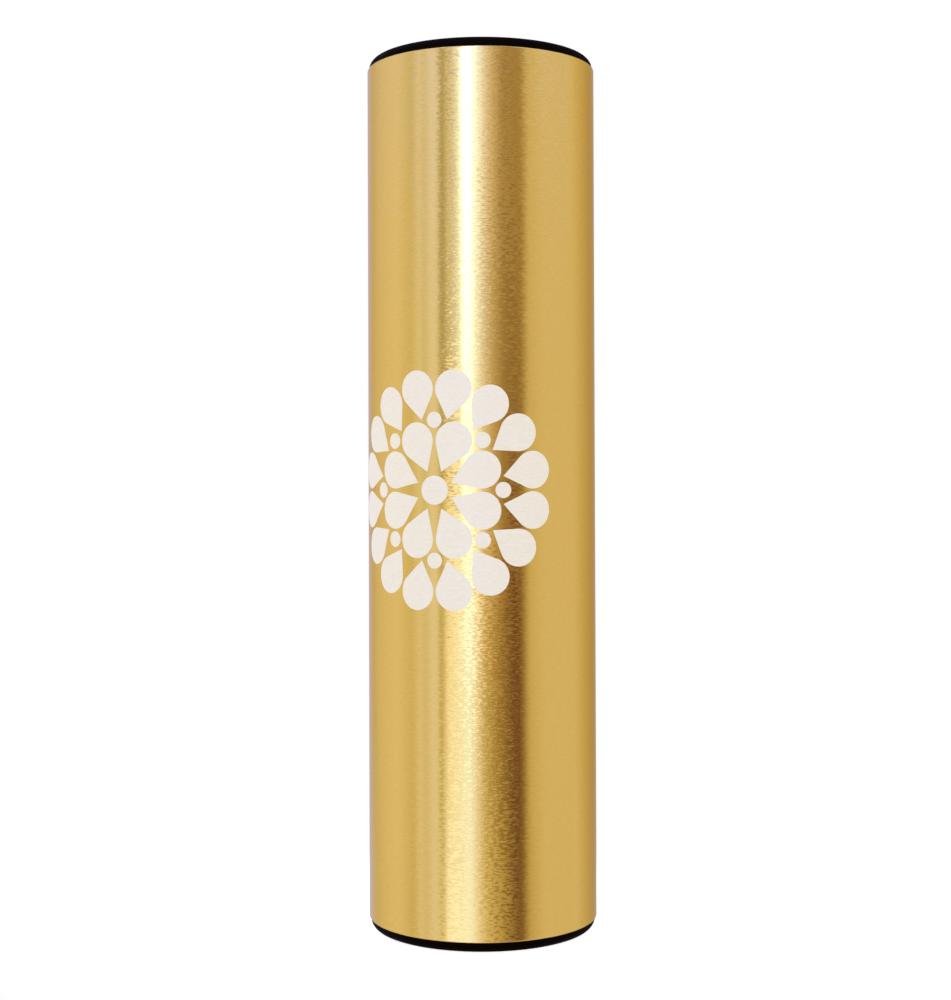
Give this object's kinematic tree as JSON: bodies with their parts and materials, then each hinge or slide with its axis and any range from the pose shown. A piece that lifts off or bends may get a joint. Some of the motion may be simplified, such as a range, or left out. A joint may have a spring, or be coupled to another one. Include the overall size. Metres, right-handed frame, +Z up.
{
  "type": "ganza shaker",
  "caption": "Tubular hand shaker: a brushed gold aluminium tube closed by black finned end plugs, with loose steel shot that slides and swirls inside.",
  "frame": {"origin": "centre of the lower plug's outer face, where the shaker stands", "axes": "+Z up along the tube; the printed side faces -Y"},
  "size_m": [0.0508, 0.0508, 0.1936],
  "materials": {
    "gold_tube": "gold anodised, brushed round the tube",
    "black_plug": "moulded black, semi-gloss",
    "steel_shot": "plain bright steel balls",
    "white_print": "screen-printed warm white ink"
  },
  "bodies": {
    "shell": {"tube": "gold_tube", "bottom_plug": "black_plug", "top_plug": "black_plug"},
    "shot_centre": {"shot_centre": "steel_shot"},
    "shot_ring1_layer1": {"shot_ring1_layer1": "steel_shot"},
    "shot_ring1_layer2": {"shot_ring1_layer2": "steel_shot"},
    "shot_ring1_layer3": {"shot_ring1_layer3": "steel_shot"},
    "shot_ring2_layer1": {"shot_ring2_layer1": "steel_shot"},
    "shot_ring2_layer2": {"shot_ring2_layer2": "steel_shot"},
    "shot_ring2_layer3": {"shot_ring2_layer3": "steel_shot"},
    "shot_ring3_layer1": {"shot_ring3_layer1": "steel_shot"},
    "shot_ring3_layer2": {"shot_ring3_layer2": "steel_shot"},
    "shot_ring3_layer3": {"shot_ring3_layer3": "steel_shot"},
    "shot_ring4_layer1": {"shot_ring4_layer1": "steel_shot"},
    "shot_ring4_layer2": {"shot_ring4_layer2": "steel_shot"},
    "shot_ring4_layer3": {"shot_ring4_layer3": "steel_shot"}
  },
  "joints": [
    {"name": "shot_centre_slide", "type": "slide", "parent": "shell", "child": "shot_centre", "axis": [0, 0, 1], "range_m": [0, 0.1754]},
    {"name": "shot_ring1_slide", "type": "slide", "parent": "shell", "child": "shot_ring1_layer1", "axis": [0, 0, 1], "range_m": [0, 0.1754]},
    {"name": "shot_ring1_layer2_swirl", "type": "hinge", "parent": "shot_ring1_layer1", "child": "shot_ring1_layer2", "pos_m": [0, 0, 0], "axis": [0, 0, 1], "continuous": true},
    {"name": "shot_ring1_layer3_swirl", "type": "hinge", "parent": "shot_ring1_layer1", "child": "shot_ring1_layer3", "pos_m": [0, 0, 0], "axis": [0, 0, 1], "continuous": true},
    {"name": "shot_ring2_slide", "type": "slide", "parent": "shell", "child": "shot_ring2_layer1", "axis": [0, 0, 1], "range_m": [0, 0.1754]},
    {"name": "shot_ring2_layer2_swirl", "type": "hinge", "parent": "shot_ring2_layer1", "child": "shot_ring2_layer2", "pos_m": [0, 0, 0], "axis": [0, 0, 1], "continuous": true},
    {"name": "shot_ring2_layer3_swirl", "type": "hinge", "parent": "shot_ring2_layer1", "child": "shot_ring2_layer3", "pos_m": [0, 0, 0], "axis": [0, 0, 1], "continuous": true},
    {"name": "shot_ring3_slide", "type": "slide", "parent": "shell", "child": "shot_ring3_layer1", "axis": [0, 0, 1], "range_m": [0, 0.1754]},
    {"name": "shot_ring3_layer2_swirl", "type": "hinge", "parent": "shot_ring3_layer1", "child": "shot_ring3_layer2", "pos_m": [0, 0, 0], "axis": [0, 0, 1], "continuous": true},
    {"name": "shot_ring3_layer3_swirl", "type": "hinge", "parent": "shot_ring3_layer1", "child": "shot_ring3_layer3", "pos_m": [0, 0, 0], "axis": [0, 0, 1], "continuous": true},
    {"name": "shot_ring4_slide", "type": "slide", "parent": "shell", "child": "shot_ring4_layer1", "axis": [0, 0, 1], "range_m": [0, 0.1754]},
    {"name": "shot_ring4_layer2_swirl", "type": "hinge", "parent": "shot_ring4_layer1", "child": "shot_ring4_layer2", "pos_m": [0, 0, 0], "axis": [0, 0, 1], "continuous": true},
    {"name": "shot_ring4_layer3_swirl", "type": "hinge", "parent": "shot_ring4_layer1", "child": "shot_ring4_layer3", "pos_m": [0, 0, 0], "axis": [0, 0, 1], "continuous": true}
  ]
}
